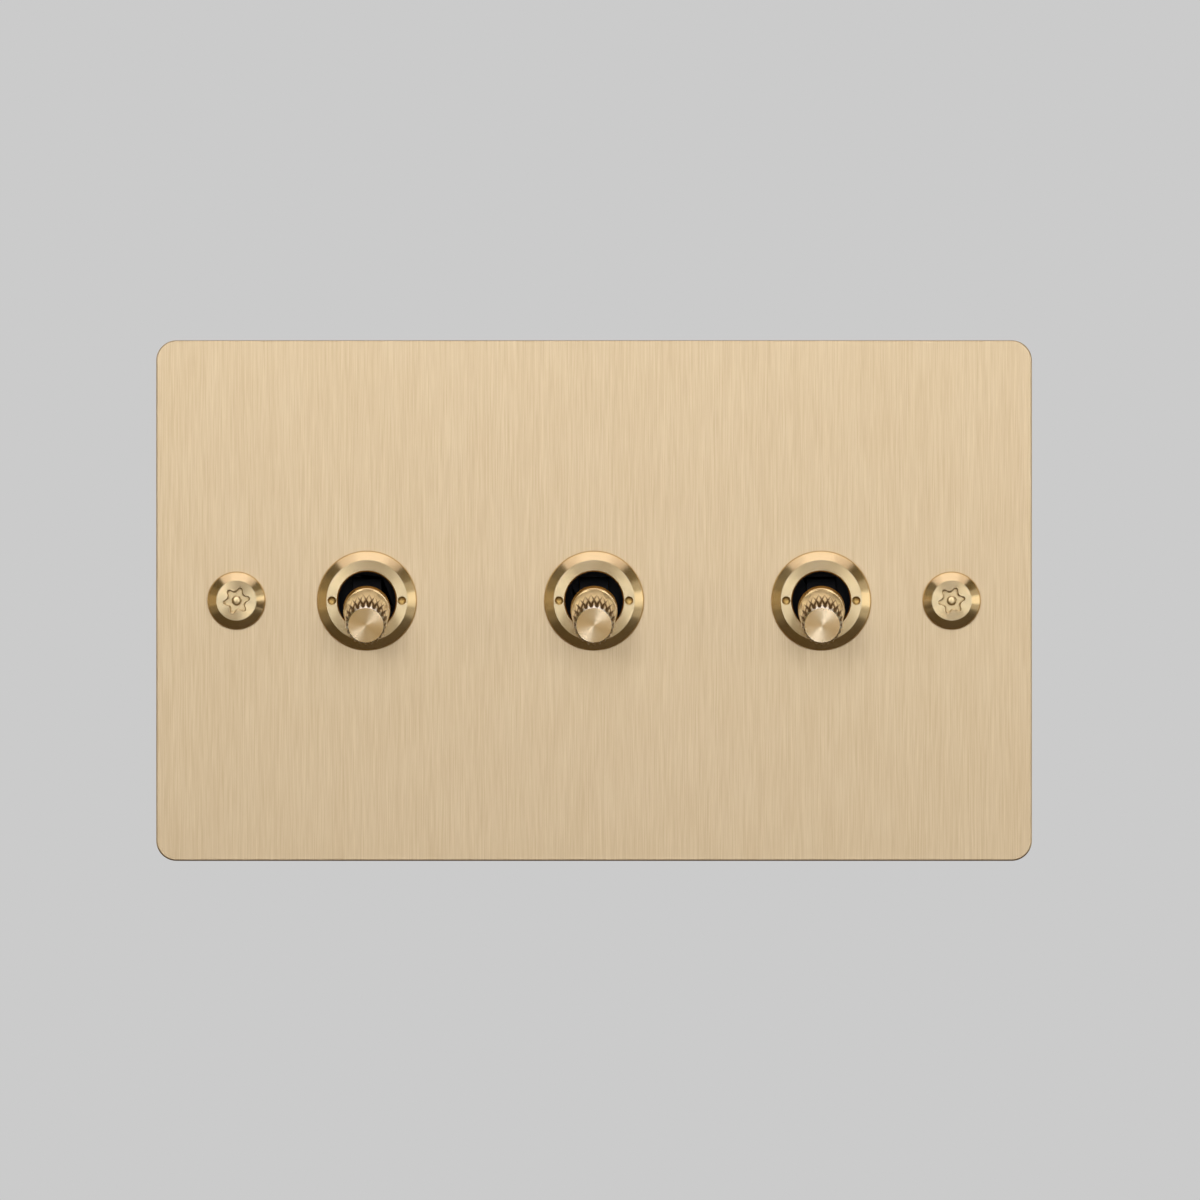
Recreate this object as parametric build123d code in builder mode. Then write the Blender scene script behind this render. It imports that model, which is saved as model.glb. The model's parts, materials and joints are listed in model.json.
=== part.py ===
from build123d import *
import os
from math import atan, cos, degrees, radians, sin, sqrt, tan

# Triple toggle light switch on a two-gang brass face plate.
# Seen from the room, +X is right, +Z is up and +Y goes into the wall.
# The origin is the middle of the plate's back face. Sizes are millimetres.

# Face plate: flat brass sheet with rounded corners and a softened front edge.
plate_width = 147.7
plate_height = 87.8
plate_thickness = 2.0
plate_corner_radius = 3.4
plate_edge_radius = 0.4
fixing_spacing = 120.6
toggle_pitch = 38.3
toggle_count = 3

# Fixing screws: turned brass heads with a pinned six-lobe recess.
screw_head_diameter = 9.8
screw_face_diameter = 6.9
screw_head_wall = 0.6
screw_head_slope = 31.0
screw_neck_diameter = 4.0
screw_hole_clearance = 0.2
screw_thread_diameter = 3.5
screw_length = 28.0
recess_lobe_diameter = 4.5
recess_waist_diameter = 3.2
recess_scallop_radius = 0.95
recess_depth = 1.1
recess_pin_diameter = 1.6
recess_pin_drop = 0.25
recess_turn = 10.0
recess_lobes = 6

# Bezel ring: a ring nut that clamps the plate against the switch module.
bezel_diameter = 16.85
bezel_face_diameter = 13.8
bezel_wall = 0.6
bezel_slope = 30.0
bezel_hole_diameter = 9.8
bezel_lip = 0.95
spanner_hole_diameter = 1.45
spanner_hole_spacing = 11.8
spanner_hole_depth = 0.5

# Module cover: black moulding with the threaded bush that passes the plate.
bush_diameter = 12.0
bush_wall = 1.25
thread_clearance = 0.05
plate_hole_clearance = 0.15
module_width = 24.0
module_height = 36.0
module_corner_chamfer = 1.2
cover_thickness = 3.0

# Snap posts: moulded on the base, hooked over a ledge in the cover.
post_width = 6.0
post_thickness = 1.6
post_barb = 0.5
post_height = 14.0
post_ledge = 1.2
post_sink = 0.3

# Dolly, its pivot pin and the toggle lever. Distances run along the lever from the pivot.
pivot_inset = 1.2
throw_angle = 26.0
pin_diameter = 1.5
pin_clearance = 0.03
pin_end_wall = 1.5
drum_width = 4.8
drum_clearance = 0.2
dolly_bar = 4.6
dolly_socket_reach = 4.3
tang_size = 2.2
tang_end = 1.4
neck_diameter = 4.0
collar_diameter = 7.9
collar_length = 2.0
swing_gap = 0.26
lever_length = 18.4
tip_face_diameter = 5.92
tip_chamfer = 0.48
knurl_rear_diameter = 7.5
knurl_starts = 22
knurl_helix_angle = 10.5
knurl_fade_angle = 2.6
knurl_depth = 0.28
knurl_groove_angle = 100.0

# Plunger and its spring in the dolly's tail.
tail_length = 7.4
tail_bore_floor = 2.6
plunger_size = 2.2
plunger_clearance = 0.05
plunger_nose = 0.6
plunger_nose_length = 0.9
plunger_length = 3.6
plunger_reach = 10.0
spring_wire = 0.36
spring_turns = 3
spring_bends = 8

# Rocker contact: a brass see-saw in a shallow V, resting on the common terminal.
rocker_width = 5.0
rocker_thickness = 1.2
rocker_half_length = 9.5
rocker_wing_angle = 8.0
rocker_swing = 20.0
rocker_seat_lift = 0.15
plunger_gap = 0.16
fulcrum_diameter = 1.2
fulcrum_clearance = 0.05
tip_size = 3.0
tip_thickness = 0.6
tip_offset = 8.0
tip_gap = 0.06

# Module base and its three pillar terminals.
floor_thickness = 2.4
cavity_width = 11.0
cavity_margin = 0.9
strip_width = 5.0
strip_thickness = 1.0
slot_clearance = 0.1
pillar_size = 7.0
pillar_length = 7.5
pillar_overlap = 1.5
wire_bore_diameter = 3.4
wire_bore_depth = 6.0

# Earth stud welded to the plate's back.
earth_edge_inset = 12.9
earth_stud_diameter = 4.0
earth_stud_length = 11.0

# Places that follow from the sizes above.
toggle_xs = [(i - (toggle_count - 1) / 2) * toggle_pitch for i in range(toggle_count)]
toggle_points = [(x, 0) for x in toggle_xs]
plate_front = -plate_thickness
bezel_rise = (bezel_diameter - bezel_face_diameter) / 2 * tan(radians(bezel_slope))
bezel_face = plate_front - bezel_wall - bezel_rise
bush_front = bezel_face + bezel_lip + thread_clearance
bush_bore_radius = bush_diameter / 2 - bush_wall
plate_hole_radius = bush_diameter / 2 + plate_hole_clearance
drum_radius = sqrt((bush_bore_radius - drum_clearance) ** 2 - (drum_width / 2) ** 2)
pivot_y = pivot_inset
tilt = radians(throw_angle / 2)
collar_radius = collar_diameter / 2
collar_start = (pivot_y - bezel_face + swing_gap + collar_radius * sin(tilt)) / cos(tilt)
collar_end = collar_start + collar_length
fulcrum_y = pivot_y + plunger_reach + plunger_gap + rocker_thickness + rocker_seat_lift
rocker_tilt = radians(rocker_swing / 2)
wing = radians(rocker_wing_angle)
tip_top = tip_offset + tip_size / 2
tip_back = rocker_seat_lift + tip_top * tan(wing) - tip_thickness / cos(wing)
fixed_tip_y = fulcrum_y + tip_top * sin(rocker_tilt) - tip_back * cos(rocker_tilt) + tip_gap
floor_front = fixed_tip_y + tip_thickness + strip_thickness
base_rear = floor_front + floor_thickness
pillar_rear = base_rear + pillar_length
cavity_half = rocker_half_length + cavity_margin
pillar_z = cavity_half + pillar_size / 2 - pillar_overlap
earth_x = toggle_pitch / 2
earth_z = earth_edge_inset - plate_height / 2


def wall_plane(depth):
    """Plane parallel to the plate at a depth into the wall, with X across and Z up."""
    return Plane.XZ.offset(-depth)


# The lever's own plane: X across, and Y from the pivot towards the tip, which points down.
lever_plane = Plane((0, pivot_y, 0), x_dir=(1, 0, 0), z_dir=(0, sin(tilt), -cos(tilt)))
lever_axis = Axis((0, pivot_y, 0), lever_plane.y_dir)

# The rocker's own plane: Y along its length, Z towards the plunger, upper end pressed back.
rocker_plane = Plane((0, fulcrum_y, 0), x_dir=(1, 0, 0), z_dir=(0, -cos(rocker_tilt), sin(rocker_tilt)))
rocker_section = Plane(rocker_plane.origin, x_dir=rocker_plane.y_dir, z_dir=(1, 0, 0))

# Face plate
with BuildPart() as face_plate:
    with BuildSketch(wall_plane(plate_front)):
        RectangleRounded(plate_width, plate_height, plate_corner_radius)
        with Locations(*toggle_points):
            Circle(plate_hole_radius, mode=Mode.SUBTRACT)
        with GridLocations(fixing_spacing, 0, 2, 1):
            Circle(screw_neck_diameter / 2 + screw_hole_clearance, mode=Mode.SUBTRACT)
    extrude(amount=-plate_thickness)
    fillet(face_plate.faces().sort_by(Axis.Y)[0].outer_wire().edges(), plate_edge_radius)
face_plate.part.label = "face_plate"
os.makedirs("parts", exist_ok=True)
export_step(face_plate.part, "parts/face_plate.step")

# Fixing screw: head, plain neck through the plate, thread core behind it
screw_rise = (screw_head_diameter - screw_face_diameter) / 2 * tan(radians(screw_head_slope))
screw_face = plate_front - screw_head_wall - screw_rise
with BuildPart() as fixing_screw:
    with BuildSketch():
        with BuildLine():
            Polyline(
                (0, screw_face),
                (screw_face_diameter / 2, screw_face),
                (screw_head_diameter / 2, plate_front - screw_head_wall),
                (screw_head_diameter / 2, plate_front),
                (screw_neck_diameter / 2, plate_front),
                (screw_neck_diameter / 2, 0),
                (screw_thread_diameter / 2, 0),
                (screw_thread_diameter / 2, screw_length),
                (0, screw_length),
                close=True,
            )
        make_face()
    revolve(axis=Axis.Y)
    with BuildSketch(wall_plane(screw_face)):
        Circle(recess_lobe_diameter / 2)
        scallop_reach = recess_waist_diameter / 2 + recess_scallop_radius
        with PolarLocations(scallop_reach, recess_lobes, start_angle=recess_turn + 180 / recess_lobes):
            Circle(recess_scallop_radius, mode=Mode.SUBTRACT)
        Circle(recess_pin_diameter / 2, mode=Mode.SUBTRACT)
    extrude(amount=-recess_depth, mode=Mode.SUBTRACT)
    with BuildSketch(wall_plane(screw_face)):
        Circle(recess_pin_diameter / 2)
    extrude(amount=-recess_pin_drop, mode=Mode.SUBTRACT)

with BuildPart() as fixing_screws:
    with GridLocations(fixing_spacing, 0, 2, 1):
        add(fixing_screw.part)
fixing_screws.part.label = "fixing_screws"
export_step(fixing_screws.part, "parts/fixing_screws.step")

# Bezel ring: sloped rim, flat face with two spanner holes, thread for the bush behind the lip
with BuildPart() as bezel_ring:
    with BuildSketch():
        with BuildLine():
            Polyline(
                (bezel_hole_diameter / 2, bezel_face),
                (bezel_face_diameter / 2, bezel_face),
                (bezel_diameter / 2, plate_front - bezel_wall),
                (bezel_diameter / 2, plate_front),
                (bush_diameter / 2 + thread_clearance, plate_front),
                (bush_diameter / 2 + thread_clearance, bezel_face + bezel_lip),
                (bezel_hole_diameter / 2, bezel_face + bezel_lip),
                close=True,
            )
        make_face()
    revolve(axis=Axis.Y)
    with BuildSketch(wall_plane(bezel_face)):
        with GridLocations(spanner_hole_spacing, 0, 2, 1):
            Circle(spanner_hole_diameter / 2)
    extrude(amount=-spanner_hole_depth, mode=Mode.SUBTRACT)

with BuildPart() as bezel_rings:
    with Locations(*[(x, 0, 0) for x in toggle_xs]):
        add(bezel_ring.part)
bezel_rings.part.label = "bezel_rings"
export_step(bezel_rings.part, "parts/bezel_rings.step")

# Module cover: flange behind the plate with a slot for the dolly, threaded bush, pivot trough
# and slots for the snap posts
pin_length = module_width - 2 * pin_end_wall
with BuildPart() as module_cover:
    with BuildSketch(wall_plane(0)) as outline:
        Rectangle(module_width, module_height)
        chamfer(outline.vertices(), module_corner_chamfer)
    extrude(amount=-cover_thickness)
    with BuildSketch(wall_plane(bush_front)):
        Circle(bush_diameter / 2)
    extrude(amount=bush_front)
    with BuildSketch(wall_plane(bush_front)):
        Circle(bush_bore_radius)
    extrude(amount=bush_front, mode=Mode.SUBTRACT)
    with BuildSketch(wall_plane(0)):
        Rectangle(drum_width + 2 * slot_clearance, 2 * (drum_radius + slot_clearance))
    extrude(amount=-cover_thickness, mode=Mode.SUBTRACT)
    with BuildSketch(wall_plane(pivot_y - pin_diameter / 2)):
        Rectangle(pin_length + 2 * slot_clearance, pin_diameter)
    extrude(amount=pivot_y - pin_diameter / 2 - cover_thickness, mode=Mode.SUBTRACT)
    with BuildSketch(wall_plane(0)):
        with Locations((0, post_height), (0, -post_height)):
            Rectangle(post_width + 2 * slot_clearance, post_thickness + 2 * slot_clearance)
    extrude(amount=-cover_thickness, mode=Mode.SUBTRACT)
    with BuildSketch(wall_plane(0)):
        barb_middle = post_height + post_barb / 2
        with Locations((0, barb_middle), (0, -barb_middle)):
            Rectangle(post_width + 2 * slot_clearance, post_thickness + post_barb + 2 * slot_clearance)
    extrude(amount=-post_ledge, mode=Mode.SUBTRACT)

with BuildPart() as module_covers:
    with Locations(*[(x, 0, 0) for x in toggle_xs]):
        add(module_cover.part)
module_covers.part.label = "module_covers"
export_step(module_covers.part, "parts/module_covers.step")

# Pivot pin: a steel pin laid in the cover's trough and held there by the base
with BuildPart() as pivot_pin:
    with BuildSketch(Plane.YZ):
        with Locations((pivot_y, 0)):
            Circle(pin_diameter / 2)
    extrude(amount=pin_length / 2, both=True)


def lever_cross(reach):
    """Plane across the lever at a distance from the pivot, facing the tip."""
    middle = lever_plane.from_local_coords(Vector(0, reach, 0))
    return Plane(middle, x_dir=(1, 0, 0), z_dir=lever_plane.y_dir)


# Dolly: black moulded drum on a square bar, with a socket for the lever and a bored tail
with BuildPart() as dolly:
    with BuildSketch(Plane.YZ):
        with Locations((pivot_y, 0)):
            Circle(drum_radius)
    extrude(amount=drum_width / 2, both=True)
    with BuildSketch(lever_cross(-tail_length)):
        Rectangle(dolly_bar, dolly_bar)
    extrude(amount=tail_length + dolly_socket_reach)
    with BuildSketch(lever_cross(-tail_length)):
        Rectangle(plunger_size + 2 * plunger_clearance, plunger_size + 2 * plunger_clearance)
    extrude(amount=tail_length - tail_bore_floor, mode=Mode.SUBTRACT)
    with BuildSketch(lever_cross(tang_end)):
        Rectangle(tang_size, tang_size)
    extrude(amount=dolly_socket_reach - tang_end, mode=Mode.SUBTRACT)
    with BuildSketch(Plane.YZ):
        with Locations((pivot_y, 0)):
            Circle(pin_diameter / 2 + pin_clearance)
    extrude(amount=dolly_bar, both=True, mode=Mode.SUBTRACT)

# Toggle lever: turned brass, a cross-knurled taper ahead of a plain collar, neck and tang
tip_body_radius = tip_face_diameter / 2 + tip_chamfer
knurl_rear_radius = knurl_rear_diameter / 2
knurl_length = lever_length - tip_chamfer - collar_end
knurl_middle = collar_end + knurl_length / 2
knurl_middle_radius = (knurl_rear_radius + tip_body_radius) / 2
taper = (knurl_rear_radius - tip_body_radius) / knurl_length


def groove_plane(turn, lean):
    """Plane across a groove that deepens to the tip: X points out of the lever, Z along the groove."""
    around = Rotation(0, turn, 0)
    slope = taper + tan(radians(knurl_fade_angle))
    outward = Vector(1, slope, 0)
    along = Vector(-slope, 1, lean * tan(radians(knurl_helix_angle)))
    local = Plane((knurl_middle_radius, knurl_middle, 0), x_dir=outward, z_dir=along)
    return Plane(lever_plane.location * around * local.location)


groove_planes = [
    groove_plane(start * 360 / knurl_starts, lean) for start in range(knurl_starts) for lean in (-1, 1)
]
with BuildPart() as toggle_lever:
    with BuildSketch(lever_cross(collar_end)):
        RegularPolygon(knurl_rear_radius, knurl_starts, major_radius=False)
    extrude(amount=knurl_length + tip_chamfer)
    flats = toggle_lever.faces().sort_by(lever_axis)[1:-1]
    draft(flats, neutral_plane=lever_cross(collar_end), angle=degrees(atan(taper)))
    chamfer(toggle_lever.faces().sort_by(lever_axis)[-1].edges(), tip_chamfer)
    groove_half_width = knurl_depth * 2 * tan(radians(knurl_groove_angle / 2))
    with BuildSketch(*groove_planes):
        with BuildLine():
            Polyline(
                (-knurl_depth, 0),
                (knurl_depth, groove_half_width),
                (knurl_depth, -groove_half_width),
                close=True,
            )
        make_face()
    extrude(amount=knurl_length, both=True, mode=Mode.SUBTRACT)
    with BuildSketch(lever_plane):
        with BuildLine():
            Polyline(
                (0, dolly_socket_reach),
                (neck_diameter / 2, dolly_socket_reach),
                (neck_diameter / 2, collar_start),
                (collar_radius, collar_start),
                (collar_radius, collar_end),
                (0, collar_end),
                close=True,
            )
        make_face()
    revolve(axis=lever_axis)
    with BuildSketch(lever_cross(tang_end)):
        Rectangle(tang_size, tang_size)
    extrude(amount=dolly_socket_reach - tang_end)

# Plunger: a square nylon slug in the dolly's tail, with a wedge nose that presses on the rocker
lever_section = Plane(lever_plane.origin, x_dir=lever_plane.y_dir, z_dir=(1, 0, 0))
with BuildPart() as plunger:
    with BuildSketch(lever_section):
        with BuildLine():
            Polyline(
                (plunger_length - plunger_reach, plunger_size / 2),
                (plunger_nose_length - plunger_reach, plunger_size / 2),
                (-plunger_reach, plunger_nose / 2),
                (-plunger_reach, -plunger_nose / 2),
                (plunger_nose_length - plunger_reach, -plunger_size / 2),
                (plunger_length - plunger_reach, -plunger_size / 2),
                close=True,
            )
        make_face()
    extrude(amount=plunger_size / 2, both=True)

# Plunger spring: square wire bent round in short runs, from the bore's bottom to the plunger
spring_radius = (plunger_size - spring_wire) / 2
spring_start = -tail_bore_floor - spring_wire / 2
spring_end = plunger_length - plunger_reach + spring_wire / 2
spring_bend_count = spring_turns * spring_bends
spring_bend_points = []
for bend in range(spring_bend_count + 1):
    bend_angle = radians(bend * 360 / spring_bends)
    bend_reach = spring_start + (spring_end - spring_start) * bend / spring_bend_count
    bend_point = Vector(spring_radius * cos(bend_angle), bend_reach, spring_radius * sin(bend_angle))
    spring_bend_points.append(lever_plane.from_local_coords(bend_point))
with BuildPart() as plunger_spring:
    with BuildLine() as coil:
        Polyline(*spring_bend_points)
    with BuildSketch(Plane(coil.line @ 0, x_dir=lever_plane.y_dir, z_dir=coil.line % 0)):
        Rectangle(spring_wire, spring_wire)
    sweep(path=coil.line, transition=Transition.RIGHT)

# Rocker contact: shallow V with a half-round groove behind that sits on the fulcrum
with BuildPart() as rocker_contact:
    wing_rise = rocker_half_length * tan(wing)
    front = rocker_seat_lift + rocker_thickness
    with BuildSketch(rocker_section):
        with BuildLine():
            Polyline(
                (0, front),
                (rocker_half_length, front + wing_rise),
                (rocker_half_length, rocker_seat_lift + wing_rise),
                (0, rocker_seat_lift),
                (-rocker_half_length, rocker_seat_lift + wing_rise),
                (-rocker_half_length, front + wing_rise),
                close=True,
            )
        make_face()
        Circle(fulcrum_diameter / 2 + fulcrum_clearance, mode=Mode.SUBTRACT)
    extrude(amount=rocker_width / 2, both=True)

# Rocker tips: silver pads on the back of each wing
with BuildPart() as rocker_tips:
    with BuildSketch(rocker_section):
        with BuildLine():
            Polyline(
                (tip_offset - tip_size / 2, rocker_seat_lift + (tip_offset - tip_size / 2) * tan(wing)),
                (tip_top, rocker_seat_lift + tip_top * tan(wing)),
                (tip_top, tip_back),
                (tip_offset - tip_size / 2, tip_back - tip_size * tan(wing)),
                close=True,
            )
        make_face()
        mirror(about=Plane.YZ)
    extrude(amount=tip_size / 2, both=True)


# Pillar: brass block on the base's rear face, with a wire bore from the rear
with BuildPart() as pillar:
    with BuildSketch(wall_plane(base_rear)):
        Rectangle(pillar_size, pillar_size)
    extrude(amount=-pillar_length)
    with BuildSketch(wall_plane(pillar_rear)):
        Circle(wire_bore_diameter / 2)
    extrude(amount=wire_bore_depth, mode=Mode.SUBTRACT)

# Common terminal: pillar with a blade through the base, whose round nose carries the rocker
with BuildPart() as common_terminal:
    with BuildSketch(Plane.YZ):
        with Locations((fulcrum_y, 0)):
            Circle(fulcrum_diameter / 2)
            Rectangle(base_rear - fulcrum_y, fulcrum_diameter, align=(Align.MIN, Align.CENTER))
    extrude(amount=strip_width / 2, both=True)
    add(pillar.part)

# Upper terminal: pillar, strip through the base and a fixed contact arm inside
arm_end = tip_offset - tip_size / 2
with BuildPart() as upper_terminal:
    with BuildSketch(Plane.YZ):
        with BuildLine():
            Polyline(
                (floor_front - strip_thickness, arm_end),
                (floor_front - strip_thickness, cavity_half),
                (base_rear, cavity_half),
                (base_rear, cavity_half - strip_thickness),
                (floor_front, cavity_half - strip_thickness),
                (floor_front, arm_end),
                close=True,
            )
        make_face()
    extrude(amount=strip_width / 2, both=True)
    with Locations((0, 0, pillar_z)):
        add(pillar.part)

# Lower terminal: the same piece the other way up
with BuildPart() as lower_terminal:
    mirror(upper_terminal.part, about=Plane.XY)

# Module base: moulded tub behind the cover, with slots in its floor for the terminals
keeper_width = (pin_length - cavity_width) / 2
keeper_middle = (pin_length + cavity_width) / 4
with BuildPart() as module_base:
    with BuildSketch(wall_plane(cover_thickness)) as outline:
        Rectangle(module_width, module_height)
        chamfer(outline.vertices(), module_corner_chamfer)
    extrude(amount=cover_thickness - base_rear)
    with BuildSketch(wall_plane(cover_thickness)):
        Rectangle(cavity_width, 2 * (cavity_half + slot_clearance))
    extrude(amount=cover_thickness - floor_front, mode=Mode.SUBTRACT)
    slot_middle = cavity_half - strip_thickness / 2
    with BuildSketch(wall_plane(floor_front)):
        with Locations((0, slot_middle), (0, -slot_middle)):
            Rectangle(strip_width + 2 * slot_clearance, strip_thickness + 2 * slot_clearance)
        Rectangle(strip_width + 2 * slot_clearance, fulcrum_diameter + 2 * slot_clearance)
    extrude(amount=-floor_thickness, mode=Mode.SUBTRACT)
    with BuildSketch(wall_plane(pivot_y + pin_diameter / 2)):
        with Locations((keeper_middle, 0), (-keeper_middle, 0)):
            Rectangle(keeper_width, pin_diameter - 2 * slot_clearance)
    extrude(amount=pivot_y + pin_diameter / 2 - cover_thickness)
    with BuildSketch(Plane.YZ):
        with BuildLine():
            Polyline(
                (cover_thickness, post_height - post_thickness / 2),
                (post_sink, post_height - post_thickness / 2),
                (post_sink, post_height + post_thickness / 2),
                (post_ledge, post_height + post_thickness / 2 + post_barb),
                (post_ledge, post_height + post_thickness / 2),
                (cover_thickness, post_height + post_thickness / 2),
                close=True,
            )
        make_face()
        mirror(about=Plane.XZ)
    extrude(amount=post_width / 2, both=True)

module_pieces = {
    "pivot_pin": pivot_pin,
    "dolly": dolly,
    "toggle_lever": toggle_lever,
    "plunger": plunger,
    "plunger_spring": plunger_spring,
    "rocker_contact": rocker_contact,
    "rocker_tips": rocker_tips,
    "common_terminal": common_terminal,
    "upper_terminal": upper_terminal,
    "lower_terminal": lower_terminal,
    "module_base": module_base,
}
for number, x in enumerate(toggle_xs, start=1):
    for name, piece in module_pieces.items():
        placed = piece.part.moved(Location((x, 0, 0)))
        placed.label = f"{name}_{number}"
        export_step(placed, f"parts/{name}_{number}.step")

# Contact tips: silver pads on the fixed arms, facing the rocker
with BuildPart() as contact_tips:
    with BuildSketch(wall_plane(fixed_tip_y)):
        with Locations(*[(x, side * tip_offset) for x in toggle_xs for side in (-1, 1)]):
            Rectangle(tip_size, tip_size)
    extrude(amount=-tip_thickness)
contact_tips.part.label = "contact_tips"
export_step(contact_tips.part, "parts/contact_tips.step")

# Earth stud on the plate's back
with BuildPart() as earth_stud:
    with BuildSketch(wall_plane(0)):
        with Locations((earth_x, earth_z)):
            Circle(earth_stud_diameter / 2)
    extrude(amount=-earth_stud_length)
earth_stud.part.label = "earth_stud"
export_step(earth_stud.part, "parts/earth_stud.step")
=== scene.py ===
import json
from math import atan2, ceil, cos, hypot, pi, radians, sin, sqrt, tan

import bmesh
import bpy
from mathutils import Matrix, Vector


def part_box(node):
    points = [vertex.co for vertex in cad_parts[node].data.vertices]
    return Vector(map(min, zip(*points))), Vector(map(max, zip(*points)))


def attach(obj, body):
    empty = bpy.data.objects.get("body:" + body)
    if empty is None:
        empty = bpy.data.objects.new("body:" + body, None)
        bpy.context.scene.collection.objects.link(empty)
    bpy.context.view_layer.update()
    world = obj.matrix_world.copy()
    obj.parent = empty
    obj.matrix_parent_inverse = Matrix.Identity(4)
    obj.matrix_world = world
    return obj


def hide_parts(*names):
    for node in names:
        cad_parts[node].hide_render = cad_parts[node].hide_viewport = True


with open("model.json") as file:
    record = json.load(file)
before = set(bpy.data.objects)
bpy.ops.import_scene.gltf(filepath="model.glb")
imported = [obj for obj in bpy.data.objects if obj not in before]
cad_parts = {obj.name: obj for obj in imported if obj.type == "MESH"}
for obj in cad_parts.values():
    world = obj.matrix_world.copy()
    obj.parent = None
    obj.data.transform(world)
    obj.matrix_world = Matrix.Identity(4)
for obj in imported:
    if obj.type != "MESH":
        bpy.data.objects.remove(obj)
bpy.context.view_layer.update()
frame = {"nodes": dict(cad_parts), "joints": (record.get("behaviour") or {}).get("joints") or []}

# Face plate: one flat sheet of solid brass that covers a two-gang wall box.
# It is punched and cut, its front edge is linished round, and the face is brushed
# from top to bottom with an abrasive belt and then lacquered.
mm = 0.001
joints = {joint["name"]: joint for joint in frame["joints"]}
plate_low, plate_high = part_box("face_plate")
plate_front = plate_low.y
plate_corner = 3.4 * mm
plate_edge = 0.28 * mm
plate_rim = 0.05 * mm
bush_hole = 6.15 * mm
screw_hole = 2.2 * mm
lever_numbers = (1, 2, 3)
lever_pivots = [Vector(joints[f"toggle_hinge_{number}"]["pos_m"]) for number in lever_numbers]
lever_pitch = lever_pivots[1].x - lever_pivots[0].x
screws_low, screws_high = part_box("fixing_screws")
screw_head_radius = (screws_high.z - screws_low.z) / 2
screw_x = screws_high.x - screw_head_radius


def linear(hex_colour):
    """An sRGB hex colour as linear red, green, blue and alpha."""
    channels = [int(hex_colour[start : start + 2], 16) / 255 for start in (0, 2, 4)]
    return [c / 12.92 if c <= 0.04045 else ((c + 0.055) / 1.055) ** 2.4 for c in channels] + [1.0]


def add_node(tree, kind, inputs=None, **settings):
    """Adds a node with its settings, and links or sets the inputs that are given."""
    node = tree.nodes.new(kind)
    for name, value in settings.items():
        setattr(node, name, value)
    for name, value in (inputs or {}).items():
        if isinstance(value, bpy.types.NodeSocket):
            tree.links.new(value, node.inputs[name])
        else:
            node.inputs[name].default_value = value
    return node


def start_material(name):
    """A material of that name with an empty node tree."""
    material = bpy.data.materials.new(name)
    material.use_nodes = True
    material.node_tree.nodes.clear()
    return material, material.node_tree


def finish_piece(name, mesh, body, replaced=(), crease=30):
    """Puts a finished mesh on its body in place of the CAD nodes that it stands for."""
    mesh.shade_smooth()
    mesh.set_sharp_from_angle(angle=radians(crease))
    piece = bpy.data.objects.new(name, mesh)
    bpy.context.scene.collection.objects.link(piece)
    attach(piece, body)
    if replaced:
        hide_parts(*replaced)


def plate_outline(bm, inset, depth, corner_steps=12):
    """One loop of vertices round the plate, drawn in from its edge by an inset."""
    radius = plate_corner - inset
    centre_x = plate_high.x - plate_corner
    centre_z = plate_high.z - plate_corner
    loop = []
    for corner, (side_x, side_z) in enumerate(((1, 1), (-1, 1), (-1, -1), (1, -1))):
        for step in range(corner_steps + 1):
            angle = (corner + step / corner_steps) * pi / 2
            x = side_x * centre_x + radius * cos(angle)
            loop.append(bm.verts.new((x, depth, side_z * centre_z + radius * sin(angle))))
    return loop


def round_loop(bm, x, radius, depth, steps=64):
    """One round loop of vertices across the plate."""
    angles = [2 * pi * step / steps for step in range(steps)]
    return [bm.verts.new((x + radius * cos(a), depth, radius * sin(a))) for a in angles]


def bridge(bm, first, second):
    """Quads between two loops with the same number of vertices."""
    count = len(first)
    for i in range(count):
        j = (i + 1) % count
        bm.faces.new((first[i], first[j], second[j], second[i]))


def loop_edges(bm, loop):
    """The edges of a closed loop of vertices, made where they are missing."""
    pairs = [(loop[i - 1], loop[i]) for i in range(len(loop))]
    return [bm.edges.get(pair) or bm.edges.new(pair) for pair in pairs]


def face_plate_mesh():
    """The plate with its holes, and its front edge rounded."""
    bm = bmesh.new()
    edge_steps = 10
    back = plate_outline(bm, 0, plate_high.y)
    loops = [back]
    for step in range(edge_steps + 1):
        turn = pi / 2 * step / edge_steps
        inset = plate_edge * (1 - cos(turn))
        loops.append(plate_outline(bm, inset, plate_front + plate_edge * (1 - sin(turn))))
    loops.append(plate_outline(bm, plate_edge + plate_rim, plate_front))
    for first, second in zip(loops, loops[1:]):
        bridge(bm, first, second)
    holes = [(pivot.x, bush_hole) for pivot in lever_pivots]
    holes += [(-screw_x, screw_hole), (screw_x, screw_hole)]
    front_loops, back_loops = [loops[-1]], [back]
    for x, radius in holes:
        front_loops.append(round_loop(bm, x, radius, plate_front))
        back_loops.append(round_loop(bm, x, radius, plate_high.y))
        bridge(bm, front_loops[-1], back_loops[-1])
    for group, facing in ((front_loops, (0, -1, 0)), (back_loops, (0, 1, 0))):
        edges = [edge for loop in group for edge in loop_edges(bm, loop)]
        bmesh.ops.triangle_fill(bm, edges=edges, use_beauty=True, normal=facing)
    bmesh.ops.recalc_face_normals(bm, faces=bm.faces)
    mesh = bpy.data.meshes.new("face_plate")
    bm.to_mesh(mesh)
    bm.free()
    return mesh


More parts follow.
